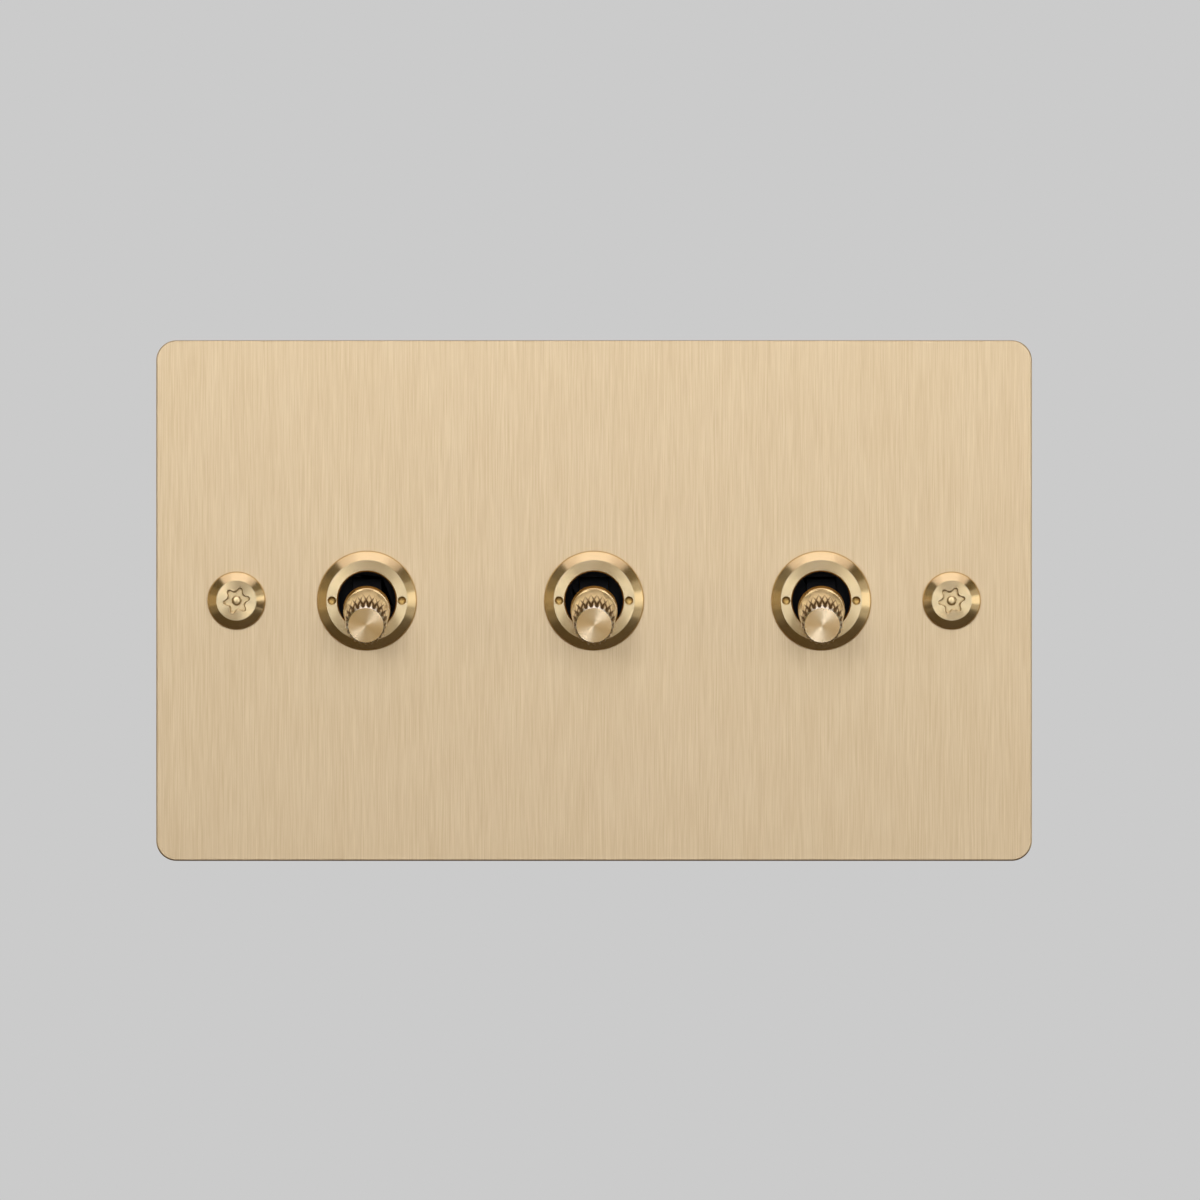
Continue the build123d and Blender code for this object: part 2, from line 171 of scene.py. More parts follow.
def brushed_brass():
    """Brushed, lacquered brass: pale gold, with fine upright streaks that spread light to the sides."""
    material, tree = start_material("brushed brass, satin lacquer")
    place = add_node(tree, "ShaderNodeTexCoord").outputs["Object"]
    # One belt scratch is 0.05 mm wide, too fine for the picture, so a streak is drawn 0.1 mm wide.
    streak_scale = (1 / (0.1 * mm), 1 / (4 * mm), 1 / (7 * mm))
    streak_place = add_node(tree, "ShaderNodeMapping", {"Vector": place, "Scale": streak_scale})
    streaks = add_node(
        tree, "ShaderNodeTexNoise", {"Vector": streak_place.outputs[0], "Scale": 1.0, "Detail": 2.0}
    )
    band_scale = (1 / (1.5 * mm), 1 / (4 * mm), 1 / (16 * mm))
    band_place = add_node(tree, "ShaderNodeMapping", {"Vector": place, "Scale": band_scale})
    bands = add_node(
        tree, "ShaderNodeTexNoise", {"Vector": band_place.outputs[0], "Scale": 1.0, "Detail": 1.0}
    )
    mixed = add_node(
        tree,
        "ShaderNodeMix",
        {"Factor": 0.12, "A": streaks.outputs["Fac"], "B": bands.outputs["Fac"]},
    )
    share = add_node(
        tree, "ShaderNodeMapRange", {"Value": mixed.outputs[0], "From Min": 0.3, "From Max": 0.7}
    ).outputs["Result"]
    colour = add_node(
        tree,
        "ShaderNodeMix",
        {"Factor": share, "A": linear("DFC59A"), "B": linear("EED7AF")},
        data_type="RGBA",
    )
    roughness = add_node(
        tree, "ShaderNodeMapRange", {"Value": share, "To Min": 0.51, "To Max": 0.48}
    ).outputs["Result"]
    bump = add_node(tree, "ShaderNodeBump", {"Height": share, "Strength": 0.1, "Distance": 0.01 * mm})
    across = add_node(tree, "ShaderNodeCombineXYZ", {"X": 1.0})
    metal = add_node(
        tree,
        "ShaderNodeBsdfPrincipled",
        {
            "Base Color": colour.outputs["Result"],
            "Metallic": 1.0,
            "Roughness": roughness,
            "Normal": bump.outputs["Normal"],
            "Anisotropic": 0.5,
            "Tangent": across.outputs["Vector"],
        },
    )
    add_node(tree, "ShaderNodeOutputMaterial", {"Surface": metal.outputs["BSDF"]})
    return material


plate_mesh = face_plate_mesh()
plate_mesh.materials.append(brushed_brass())
finish_piece("plate", plate_mesh, "wall_unit", ["face_plate"])

# Fixing screws: brass screws turned from bar, with a low coned head and a pinned six-lobe recess
# that only a matching key turns. They pass the plate and screw into the wall box's lugs.
screw_face = screws_low.y
screw_face_radius = 3.45 * mm
screw_head_wall = 0.6 * mm
screw_edge = 0.08 * mm
screw_rim = 0.18 * mm
screw_neck_radius = 2.0 * mm
screw_thread_radius = 1.75 * mm
screw_thread_depth = 0.3 * mm
screw_thread_pitch = 0.6 * mm
recess_waist = 1.64 * mm
recess_lobe = 2.32 * mm
recess_round = 0.45 * mm
recess_depth = 1.1 * mm
recess_draft = 0.06 * mm
recess_lead = 0.22 * mm
recess_turn = radians(10)
recess_pin_radius = 0.81 * mm
recess_pin_drop = 0.22 * mm
recess_pin_dome = 0.3 * mm


def turned_mesh(rings, closed=False, steps=128):
    """A turned form about Y.

    A ring is a radius, or a function of the angle that gives one, and a place along Y.
    """
    bm = bmesh.new()
    angles = [2 * pi * step / steps for step in range(steps)]
    loops = []
    for radius, along in rings:
        if radius == 0:
            loops.append([bm.verts.new((0, along, 0))])
            continue
        radii = [radius(a) for a in angles] if callable(radius) else [radius] * steps
        loops.append([bm.verts.new((r * cos(a), along, r * sin(a))) for r, a in zip(radii, angles)])
    pairs = list(zip(loops, loops[1:])) + ([(loops[-1], loops[0])] if closed else [])
    for first, second in pairs:
        for i in range(steps):
            j = (i + 1) % steps
            corners = [first[i % len(first)], first[j % len(first)]]
            corners += [second[j % len(second)], second[i % len(second)]]
            bm.faces.new(list(dict.fromkeys(corners)))
    bmesh.ops.recalc_face_normals(bm, faces=bm.faces)
    mesh = bpy.data.meshes.new("turned")
    bm.to_mesh(mesh)
    bm.free()
    return mesh


def recess_radius(angle):
    """The six-lobe recess's edge: round lobes that run smoothly into wider scallops between them."""
    lobe_centre = recess_lobe - recess_round
    gap = lobe_centre**2 + recess_waist**2 - 2 * lobe_centre * recess_waist * cos(pi / 6) - recess_round**2
    scallop = gap / (2 * (lobe_centre * cos(pi / 6) + recess_round - recess_waist))
    scallop_centre = recess_waist + scallop
    share = recess_round / (recess_round + scallop)
    touch_x = lobe_centre + share * (scallop_centre * cos(pi / 6) - lobe_centre)
    touch = atan2(share * scallop_centre * sin(pi / 6), touch_x)
    off_scallop = (angle - recess_turn) % (pi / 3) - pi / 6
    off_lobe = pi / 6 - abs(off_scallop)
    if off_lobe < touch:
        return lobe_centre * cos(off_lobe) + sqrt(recess_round**2 - (lobe_centre * sin(off_lobe)) ** 2)
    return scallop_centre * cos(off_scallop) - sqrt(scallop**2 - (scallop_centre * sin(off_scallop)) ** 2)


def thread_rings(end, crest, depth, pitch, rows_to_a_turn=4):
    """Rings of a thread along Y, from the plate's back to an end."""
    rows = ceil(end / (pitch / rows_to_a_turn))
    rings = []
    for row in range(rows + 1):
        along = end * row / rows

        def radius(angle, along=along):
            share = (along / pitch + angle / (2 * pi)) % 1
            return crest - depth * abs(2 * share - 1)

        rings.append((radius, along))
    return rings


def fixing_screw_rings():
    """Rings from the pin in the recess, over the head and down to the thread's end."""
    floor = screw_face + recess_depth
    pin_top = screw_face + recess_pin_drop
    dome_steps = 12
    rings = [(0, pin_top)]
    for step in range(1, dome_steps + 1):
        turn = pi / 2 * step / dome_steps
        rings.append((recess_pin_radius * sin(turn), pin_top + recess_pin_dome * (1 - cos(turn))))
    rings += [
        (recess_pin_radius, floor),
        (lambda angle: recess_radius(angle) - recess_lead - recess_draft, floor),
        (lambda angle: recess_radius(angle) - recess_lead, screw_face + recess_lead * tan(pi / 6)),
        (recess_radius, screw_face),
        (screw_face_radius - screw_edge, screw_face),
        (screw_face_radius + screw_edge, screw_face + screw_edge),
        (screw_head_radius - screw_rim, plate_front - screw_head_wall - screw_rim / 2),
        (screw_head_radius, plate_front - screw_head_wall + screw_rim),
        (screw_head_radius, plate_front),
        (screw_neck_radius, plate_front),
        (screw_neck_radius, 0),
    ]
    rings += thread_rings(screws_high.y, screw_thread_radius, screw_thread_depth, screw_thread_pitch)
    rings.append((0, screws_high.y))
    return rings


def turning(tree, spacing, place, lean):
    """The distance from the nearest turning axis, the place along it, and the direction away from it.

    The axes stand a spacing apart along X.
    """
    parts = add_node(
        tree, "ShaderNodeSeparateXYZ", {0: add_node(tree, "ShaderNodeTexCoord").outputs["Object"]}
    ).outputs
    nearest = add_node(
        tree,
        "ShaderNodeMath",
        {0: parts["X"], 1: place[0] + spacing / 2, 2: place[0] - spacing / 2},
        operation="WRAP",
    )
    joined = add_node(
        tree, "ShaderNodeCombineXYZ", {"X": nearest.outputs[0], "Y": parts["Y"], "Z": parts["Z"]}
    )
    local = add_node(
        tree,
        "ShaderNodeMapping",
        {"Vector": joined.outputs[0], "Location": place, "Rotation": (lean, 0, 0)},
        vector_type="TEXTURE",
    )
    outward = add_node(
        tree, "ShaderNodeVectorMath", {0: local.outputs[0], 1: (1, 0, 1)}, operation="MULTIPLY"
    ).outputs[0]
    distance = add_node(tree, "ShaderNodeVectorMath", {0: outward}, operation="LENGTH").outputs["Value"]
    turned_back = add_node(
        tree, "ShaderNodeVectorRotate", {"Vector": outward, "Angle": lean}, rotation_type="X_AXIS"
    )
    world = add_node(
        tree,
        "ShaderNodeVectorTransform",
        {"Vector": turned_back.outputs[0]},
        vector_type="VECTOR",
        convert_from="OBJECT",
        convert_to="WORLD",
    )
    along = add_node(tree, "ShaderNodeSeparateXYZ", {0: local.outputs[0]}).outputs["Y"]
    return distance, along, world.outputs[0]


def turned_brass(name, spacing, place=(0, 0, 0), lean=0.0, rough_low=0.23, rough_high=0.28):
    """Brass off the lathe: deep gold and bright, with tool rings that spread light away from the axis."""
    material, tree = start_material(name)
    distance, along, outward = turning(tree, spacing, place, lean)
    # The tool's feed is about 0.05 mm a turn, drawn three times as coarse so that the rings show.
    feed = 0.15 * mm
    path = add_node(tree, "ShaderNodeMath", {0: distance, 1: along}, operation="ADD")
    count = add_node(tree, "ShaderNodeMath", {0: path.outputs[0], 1: 1 / feed}, operation="MULTIPLY")
    rings = add_node(
        tree,
        "ShaderNodeTexNoise",
        {"W": count.outputs[0], "Scale": 1.0, "Detail": 1.0},
        noise_dimensions="1D",
    ).outputs["Fac"]
    colour = add_node(
        tree,
        "ShaderNodeMix",
        {"Factor": rings, "A": linear("E4CA98"), "B": linear("EDD3A2")},
        data_type="RGBA",
    )
    # Chamfers are cut with the side of a polished tool, finer than the faces square to the axis.
    normal = add_node(tree, "ShaderNodeNewGeometry").outputs["True Normal"]
    facing = add_node(
        tree,
        "ShaderNodeMath",
        {0: add_node(tree, "ShaderNodeSeparateXYZ", {0: normal}).outputs["Y"]},
        operation="ABSOLUTE",
    ).outputs[0]
    fineness = add_node(
        tree,
        "ShaderNodeMapRange",
        {"Value": facing, "From Min": 0.9, "From Max": 0.95, "To Min": 0.85, "To Max": 1.0},
    ).outputs["Result"]
    grade = add_node(
        tree, "ShaderNodeMapRange", {"Value": rings, "To Min": rough_low, "To Max": rough_high}
    ).outputs["Result"]
    roughness = add_node(tree, "ShaderNodeMath", {0: grade, 1: fineness}, operation="MULTIPLY").outputs[0]
    bump = add_node(tree, "ShaderNodeBump", {"Height": rings, "Strength": 0.1, "Distance": 0.01 * mm})
    metal = add_node(
        tree,
        "ShaderNodeBsdfPrincipled",
        {
            "Base Color": colour.outputs["Result"],
            "Metallic": 1.0,
            "Roughness": roughness,
            "Normal": bump.outputs["Normal"],
            "Anisotropic": 0.8,
            "Tangent": outward,
        },
    )
    add_node(tree, "ShaderNodeOutputMaterial", {"Surface": metal.outputs["BSDF"]})
    return material


def plain_metal(name, dark, light, rough_low, rough_high, grain_size):
    """A plain metal skin, mottled at the size of its drawing or tumbling marks."""
    material, tree = start_material(name)
    place = add_node(tree, "ShaderNodeTexCoord").outputs["Object"]
    marks = add_node(
        tree, "ShaderNodeTexNoise", {"Vector": place, "Scale": 1 / grain_size, "Detail": 3.0}
    ).outputs["Fac"]
    colour = add_node(
        tree, "ShaderNodeMix", {"Factor": marks, "A": linear(dark), "B": linear(light)}, data_type="RGBA"
    )
    roughness = add_node(
        tree, "ShaderNodeMapRange", {"Value": marks, "To Min": rough_low, "To Max": rough_high}
    ).outputs["Result"]
    bump = add_node(tree, "ShaderNodeBump", {"Height": marks, "Strength": 0.15, "Distance": 0.02 * mm})
    metal = add_node(
        tree,
        "ShaderNodeBsdfPrincipled",
        {
            "Base Color": colour.outputs["Result"],
            "Metallic": 1.0,
            "Roughness": roughness,
            "Normal": bump.outputs["Normal"],
        },
    )
    add_node(tree, "ShaderNodeOutputMaterial", {"Surface": metal.outputs["BSDF"]})
    return material


def repeat_tree():
    """Geometry nodes that set one piece at each point and give it a material."""
    tree = bpy.data.node_groups.new("like pieces at points", "GeometryNodeTree")
    sockets = {
        "Points": "NodeSocketGeometry",
        "Piece": "NodeSocketObject",
        "Material": "NodeSocketMaterial",
    }
    for name, kind in sockets.items():
        tree.interface.new_socket(name, in_out="INPUT", socket_type=kind)
    tree.interface.new_socket("Pieces", in_out="OUTPUT", socket_type="NodeSocketGeometry")
    given = add_node(tree, "NodeGroupInput").outputs
    piece = add_node(tree, "GeometryNodeObjectInfo", {"Object": given["Piece"]})
    placed = add_node(
        tree,
        "GeometryNodeInstanceOnPoints",
        {"Points": given["Points"], "Instance": piece.outputs["Geometry"]},
    )
    real = add_node(tree, "GeometryNodeRealizeInstances", {"Geometry": placed.outputs["Instances"]})
    dressed = add_node(
        tree, "GeometryNodeSetMaterial", {"Geometry": real.outputs["Geometry"], "Material": given["Material"]}
    )
    add_node(tree, "NodeGroupOutput", {"Pieces": dressed.outputs["Geometry"]})
    return tree


def baked(tree, values, mesh=None):
    """Runs a geometry node tree on a mesh and gives the result as a plain mesh."""
    holder = bpy.data.objects.new("holder", mesh or bpy.data.meshes.new("empty"))
    bpy.context.scene.collection.objects.link(holder)
    modifier = holder.modifiers.new("tree", "NODES")
    modifier.node_group = tree
    for item in tree.interface.items_tree:
        if item.in_out == "INPUT" and item.name in values:
            modifier[item.identifier] = values[item.name]
    result = bpy.data.meshes.new_from_object(holder.evaluated_get(bpy.context.evaluated_depsgraph_get()))
    bpy.data.objects.remove(holder)
    return result


like_pieces = repeat_tree()


def repeated(mesh, points, material):
    """One mesh that holds a copy of a piece at each point."""
    piece = bpy.data.objects.new("one piece", mesh)
    bpy.context.scene.collection.objects.link(piece)
    point_mesh = bpy.data.meshes.new("points")
    point_mesh.from_pydata(points, [], [])
    result = baked(like_pieces, {"Piece": piece, "Material": material}, point_mesh)
    bpy.data.objects.remove(piece)
    return result


def dress_hollow(mesh, places, radius, depths, material):
    """Gives a material to a mesh's faces that lie in round hollows at places along X, between two depths."""
    mesh.materials.append(material)
    margin = screw_edge / 4
    for face in mesh.polygons:
        x, y, z = face.center
        near = min(hypot(x - place, z) for place in places)
        if near < radius and depths[0] + margin < y < depths[1] + margin:
            face.material_index = len(mesh.materials) - 1


screw_brass = turned_brass("turned brass, screw", 2 * screw_x, (screw_x, 0, 0))
screw_points = [(-screw_x, 0, 0), (screw_x, 0, 0)]
screw_mesh = repeated(turned_mesh(fixing_screw_rings(), steps=216), screw_points, screw_brass)
recess_brass = plain_metal("brass, pressed recess", "D9BF8C", "E6CD9C", 0.3, 0.38, 0.4 * mm)
recess_depths = (screw_face, screw_face + recess_depth)
dress_hollow(screw_mesh, [-screw_x, screw_x], recess_lobe, recess_depths, recess_brass)
finish_piece("screws", screw_mesh, "wall_unit", ["fixing_screws"], crease=10)

# Bezel rings: turned brass ring nuts that clamp the plate to each switch module.
# They screw on the module's bush, and two blind holes take the pins of a spanner.
bezel_low, bezel_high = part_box("bezel_rings")
bezel_radius = (bezel_high.z - bezel_low.z) / 2
bezel_face_radius = 6.9 * mm
bezel_hole_radius = 4.9 * mm
bezel_thread_radius = 6.05 * mm
bezel_wall = 0.6 * mm
bezel_lip = 0.95 * mm
bezel_edge = 0.08 * mm
bezel_rim = 0.18 * mm
bezel_hole_chamfer = 0.2 * mm
spanner_hole_radius = 0.725 * mm
spanner_hole_reach = 5.9 * mm
spanner_hole_depth = 0.5 * mm
spanner_drill_point = 0.43 * mm


def carved(mesh, cutter):
    """A mesh with another one cut out of it."""
    body = bpy.data.objects.new("body", mesh)
    tool = bpy.data.objects.new("tool", cutter)
    for item in (body, tool):
        bpy.context.scene.collection.objects.link(item)
    cut = body.modifiers.new("cut", "BOOLEAN")
    cut.object = tool
    cut.solver = "EXACT"
    result = bpy.data.meshes.new_from_object(body.evaluated_get(bpy.context.evaluated_depsgraph_get()))
    for item in (body, tool):
        bpy.data.objects.remove(item)
    return result


def bezel_ring_mesh():
    """One ring nut about Y, with its two blind holes drilled."""
    face = bezel_low.y
    rings = [
        (bezel_hole_radius, face + bezel_hole_chamfer),
        (bezel_hole_radius + bezel_hole_chamfer, face),
        (bezel_face_radius - bezel_edge, face),
        (bezel_face_radius + bezel_edge, face + bezel_edge),
        (bezel_radius - bezel_rim, plate_front - bezel_wall - bezel_rim / 2),
        (bezel_radius, plate_front - bezel_wall + bezel_rim),
        (bezel_radius, plate_front),
        (bezel_thread_radius, plate_front),
        (bezel_thread_radius, face + bezel_lip),
        (bezel_hole_radius, face + bezel_lip),
    ]
    drill = turned_mesh(
        [
            (0, face - spanner_hole_depth),
            (spanner_hole_radius, face - spanner_hole_depth),
            (spanner_hole_radius, face + spanner_hole_depth),
            (0, face + spanner_hole_depth + spanner_drill_point),
        ],
        steps=40,
    )
    drills = repeated(drill, [(-spanner_hole_reach, 0, 0), (spanner_hole_reach, 0, 0)], None)
    return carved(turned_mesh(rings, closed=True, steps=160), drills)


bezel_brass = turned_brass("turned brass, ring nut", lever_pitch)
bezel_mesh = repeated(bezel_ring_mesh(), [(pivot.x, 0, 0) for pivot in lever_pivots], bezel_brass)
# The spanner holes' brass is much darker than the ring's: painted shade inside the holes.
drilled_brass_shaded = plain_metal("brass, drilled, painted shade", "A98748", "BC9A5C", 0.32, 0.4, 0.3 * mm)
hole_places = [pivot.x + side * spanner_hole_reach for pivot in lever_pivots for side in (-1, 1)]
hole_depths = (bezel_low.y, bezel_low.y + spanner_hole_depth + spanner_drill_point)
dress_hollow(bezel_mesh, hole_places, spanner_hole_radius, hole_depths, drilled_brass_shaded)
finish_piece("ring_nuts", bezel_mesh, "wall_unit", ["bezel_rings"], crease=10)

# Switch modules: black thermoset mouldings behind the plate. The cover carries the bush
# for the ring nut, and the base with the terminals snaps on it from behind.
moulding_edge = 0.3 * mm
weld_distance = 0.001 * mm
flat_angle = radians(1)
sharp_angle = radians(40)


def softened_mesh(name, width):
    """A copy of a CAD node with its triangles joined to flat faces and its edges rounded."""
    bm = bmesh.new()
    bm.from_mesh(frame["nodes"][name].data)
    bmesh.ops.remove_doubles(bm, verts=bm.verts, dist=weld_distance)
    bmesh.ops.dissolve_limit(bm, angle_limit=flat_angle, verts=bm.verts, edges=bm.edges)
    sharp = [edge for edge in bm.edges if len(edge.link_faces) == 2 and edge.calc_face_angle() > sharp_angle]
    bmesh.ops.bevel(
        bm, geom=sharp, offset=width, segments=3, profile=0.5, affect="EDGES", clamp_overlap=True
    )
    mesh = bpy.data.meshes.new(name)
    bm.to_mesh(mesh)
    bm.free()
    return mesh


def black_moulding():
    """Urea moulding, black: a matt skin with the fine spark-eroded grain of the mould."""
    material, tree = start_material("black urea moulding, spark-eroded")
    place = add_node(tree, "ShaderNodeTexCoord").outputs["Object"]
    grain = add_node(
        tree, "ShaderNodeTexNoise", {"Vector": place, "Scale": 1 / (0.3 * mm), "Detail": 2.0}
    ).outputs["Fac"]
    cloud = add_node(
        tree, "ShaderNodeTexNoise", {"Vector": place, "Scale": 1 / (9 * mm), "Detail": 3.0}
    ).outputs["Fac"]
    colour = add_node(
        tree,
        "ShaderNodeMix",
        {"Factor": cloud, "A": linear("0B0B0C"), "B": linear("141415")},
        data_type="RGBA",
    )
    roughness = add_node(
        tree, "ShaderNodeMapRange", {"Value": cloud, "To Min": 0.7, "To Max": 0.85}
    ).outputs["Result"]
    bump = add_node(tree, "ShaderNodeBump", {"Height": grain, "Strength": 0.35, "Distance": 0.02 * mm})
    skin = add_node(
        tree,
        "ShaderNodeBsdfPrincipled",
        {
            "Base Color": colour.outputs["Result"],
            "Roughness": roughness,
            "Normal": bump.outputs["Normal"],
            "IOR": 1.55,
            "Specular IOR Level": 0.2,
        },
    )
    add_node(tree, "ShaderNodeOutputMaterial", {"Surface": skin.outputs["BSDF"]})
    return material


def dress(mesh, material):
    """Gives a mesh a material in place of any that it came with."""
    mesh.materials.clear()
    mesh.materials.append(material)


moulding = black_moulding()
for node_name in ["module_covers"] + [f"module_base_{number}" for number in lever_numbers]:
    shell = softened_mesh(node_name, moulding_edge)
    dress(shell, moulding)
    finish_piece(f"{node_name}_shell", shell, "wall_unit", [node_name])

# Pivot pins and dollies: a steel pin, coloured near black as painted shade in the well, lies across each
# cover, and the black moulded dolly turns on it and holds the lever's tang.
pin_steel_shaded = plain_metal("steel pin, painted shade", "161618", "222224", 0.4, 0.55, 0.5 * mm)
for number in lever_numbers:
    dress(frame["nodes"][f"pivot_pin_{number}"].data, pin_steel_shaded)
    dress(frame["nodes"][f"dolly_{number}"].data, moulding)

# Toggle levers: brass turned to a slow taper and rolled with a cross knurl for the fingers.
# A plain collar sits ahead of the bezel's hole, and the tip is faced flat and chamfered.
lever_lean = radians(joints["toggle_hinge_1"]["range_deg"][1] / 2)
lever_turn = pi + lever_lean
lever_length = 18.4 * mm
lever_socket = 4.3 * mm
lever_neck_radius = 2.0 * mm
collar_radius = 3.95 * mm
collar_length = 2.0 * mm
collar_edge = 0.08 * mm
collar_gap = 0.26 * mm
collar_depth = lever_pivots[0].y - bezel_low.y + collar_gap + collar_radius * sin(lever_lean)
collar_start = collar_depth / cos(lever_lean)
collar_end = collar_start + collar_length
barrel_rear_radius = 3.75 * mm
barrel_tip_radius = 3.44 * mm
tip_face_radius = 2.96 * mm
knurl_starts = 22
knurl_angle = radians(9.05)
knurl_rear_depth = -0.11 * mm
knurl_tip_depth = 0.42 * mm
knurl_groove = radians(95)
knurl_columns = 16 * knurl_starts + 1
knurl_rows = 113


def knurl_tree():
    """Geometry nodes for a tapered barrel along Y, with crossed grooves that deepen to a 45 degree tip."""
    tree = bpy.data.node_groups.new("cross-knurled barrel", "GeometryNodeTree")
    sizes = ("Start", "Length", "Rear radius", "Tip radius", "Face radius")
    sizes += ("Starts", "Drift", "Rear depth", "Tip depth", "Rise")
    for name in sizes:
        tree.interface.new_socket(name, in_out="INPUT", socket_type="NodeSocketFloat")
    for name in ("Columns", "Rows"):
        tree.interface.new_socket(name, in_out="INPUT", socket_type="NodeSocketInt")
    tree.interface.new_socket("Material", in_out="INPUT", socket_type="NodeSocketMaterial")
    tree.interface.new_socket("Barrel", in_out="OUTPUT", socket_type="NodeSocketGeometry")
    given = add_node(tree, "NodeGroupInput").outputs
    grid = add_node(
        tree,
        "GeometryNodeMeshGrid",
        {"Size X": 1.0, "Size Y": 1.0, "Vertices X": given["Columns"], "Vertices Y": given["Rows"]},
    )
    flat = add_node(
        tree, "ShaderNodeSeparateXYZ", {0: add_node(tree, "GeometryNodeInputPosition").outputs[0]}
    ).outputs
    # Each sum has the name of its result, the operation and what goes into it.
    sums = [
        ("share", "ADD", "flat y", 0.5),
        ("drift", "MULTIPLY", "share", "Drift"),
        ("depth gain", "SUBTRACT", "Tip depth", "Rear depth"),
        ("deepening", "MULTIPLY", "share", "depth gain"),
        ("depth", "ADD", "Rear depth", "deepening"),
        ("starts passed", "MULTIPLY", "flat x", "Starts"),
    ]
    for hand, way in (("right", "ADD"), ("left", "SUBTRACT")):
        sums += [
            (f"{hand} phase", way, "starts passed", "drift"),
            (f"{hand} part", "FRACT", f"{hand} phase"),
            (f"{hand} offset", "SUBTRACT", f"{hand} part", 0.5),
            (f"{hand} distance", "ABSOLUTE", f"{hand} offset"),
            (f"{hand} wall", "MULTIPLY", f"{hand} distance", "Rise"),
            (f"{hand} cut", "SUBTRACT", "depth", f"{hand} wall"),
        ]
    sums += [
        ("deeper cut", "MAXIMUM", "right cut", "left cut"),
        ("cut", "MAXIMUM", "deeper cut", 0.0),
        ("taper", "SUBTRACT", "Rear radius", "Tip radius"),
        ("slimming", "MULTIPLY", "share", "taper"),
        ("plain radius", "SUBTRACT", "Rear radius", "slimming"),
        ("body", "SUBTRACT", "plain radius", "cut"),
        ("share left", "SUBTRACT", 1.0, "share"),
        ("length left", "MULTIPLY", "share left", "Length"),
        ("chamfer", "ADD", "Face radius", "length left"),
        ("radius", "MINIMUM", "body", "chamfer"),
        ("angle", "MULTIPLY", "flat x", 2 * pi),
        ("cosine", "COSINE", "angle"),
        ("sine", "SINE", "angle"),
        ("reach", "MULTIPLY", "share", "Length"),
        ("x", "MULTIPLY", "radius", "cosine"),
        ("y", "ADD", "Start", "reach"),
        ("z", "MULTIPLY", "radius", "sine"),
        ("cut share", "DIVIDE", "cut", "Tip depth"),
        ("off chamfer", "LESS_THAN", "body", "chamfer"),
        ("groove", "MULTIPLY", "cut share", "off chamfer"),
    ]
    values = {"flat x": flat["X"], "flat y": flat["Y"]} | {name: given[name] for name in sizes}
    for result, operation, *operands in sums:
        inputs = {place: values.get(operand, operand) for place, operand in enumerate(operands)}
        values[result] = add_node(tree, "ShaderNodeMath", inputs, operation=operation).outputs[0]
    rolled = add_node(
        tree, "ShaderNodeCombineXYZ", {"X": values["x"], "Y": values["y"], "Z": values["z"]}
    )
    # The groove's depth is kept for the material's painted shade in the grooves, but not on the chamfer,
    # which is cut bright after the knurling.
    marked = add_node(
        tree,
        "GeometryNodeStoreNamedAttribute",
        {"Geometry": grid.outputs["Mesh"], "Name": "groove", "Value": values["groove"]},
        data_type="FLOAT",
        domain="POINT",
    )
    moved = add_node(
        tree,
        "GeometryNodeSetPosition",
        {"Geometry": marked.outputs["Geometry"], "Position": rolled.outputs[0]},
    )
    closed = add_node(
        tree,
        "GeometryNodeMergeByDistance",
        {"Geometry": moved.outputs["Geometry"], "Distance": weld_distance},
    )
    real = add_node(tree, "GeometryNodeRealizeInstances", {"Geometry": closed.outputs["Geometry"]})
    dressed = add_node(
        tree, "GeometryNodeSetMaterial", {"Geometry": real.outputs["Geometry"], "Material": given["Material"]}
    )
    add_node(tree, "NodeGroupOutput", {"Barrel": dressed.outputs["Geometry"]})
    return tree


def knurled_brass():
    """Brass pressed by knurling rolls: crests paled almost to white as a painted sheen, and grooves painted
    brown as painted shade.
    """
    material, tree = start_material("knurled brass, painted sheen and groove shade")
    place = add_node(tree, "ShaderNodeTexCoord").outputs["Object"]
    marks = add_node(
        tree, "ShaderNodeTexNoise", {"Vector": place, "Scale": 1 / (0.6 * mm), "Detail": 2.0}
    ).outputs["Fac"]
    depth = add_node(tree, "ShaderNodeAttribute", attribute_name="groove").outputs["Fac"]
    # Painted shade: the deeper a point lies in a groove, the nearer its colour comes to dark brown.
    groove_shade_share = add_node(tree, "ShaderNodeMapRange", {"Value": depth, "From Max": 0.4}).outputs["Result"]
    # Painted sheen: the crests are paled almost to white for the cream light that they reflect.
    crest = add_node(
        tree,
        "ShaderNodeMix",
        {"Factor": marks, "A": linear("F5E8CC"), "B": linear("FBF0DA")},
        data_type="RGBA",
    )
    colour = add_node(
        tree,
        "ShaderNodeMix",
        {"Factor": groove_shade_share, "A": crest.outputs["Result"], "B": linear("664A12")},
        data_type="RGBA",
    )
    roughness = add_node(
        tree, "ShaderNodeMapRange", {"Value": groove_shade_share, "To Min": 0.3, "To Max": 0.5}
    ).outputs["Result"]
    metal = add_node(
        tree,
        "ShaderNodeBsdfPrincipled",
        {"Base Color": colour.outputs["Result"], "Metallic": 1.0, "Roughness": roughness},
    )
    add_node(tree, "ShaderNodeOutputMaterial", {"Surface": metal.outputs["BSDF"]})
    return material


barrel_brass = knurled_brass()
barrel_length = lever_length - collar_end
barrel_pitch = 2 * pi * (barrel_rear_radius + barrel_tip_radius) / 2 / knurl_starts
lever_brass = turned_brass(
    "turned brass, lever",
    lever_pitch,
    place=(0, lever_pivots[0].y, 0),
    lean=lever_turn,
    rough_low=0.21,
    rough_high=0.24,
)
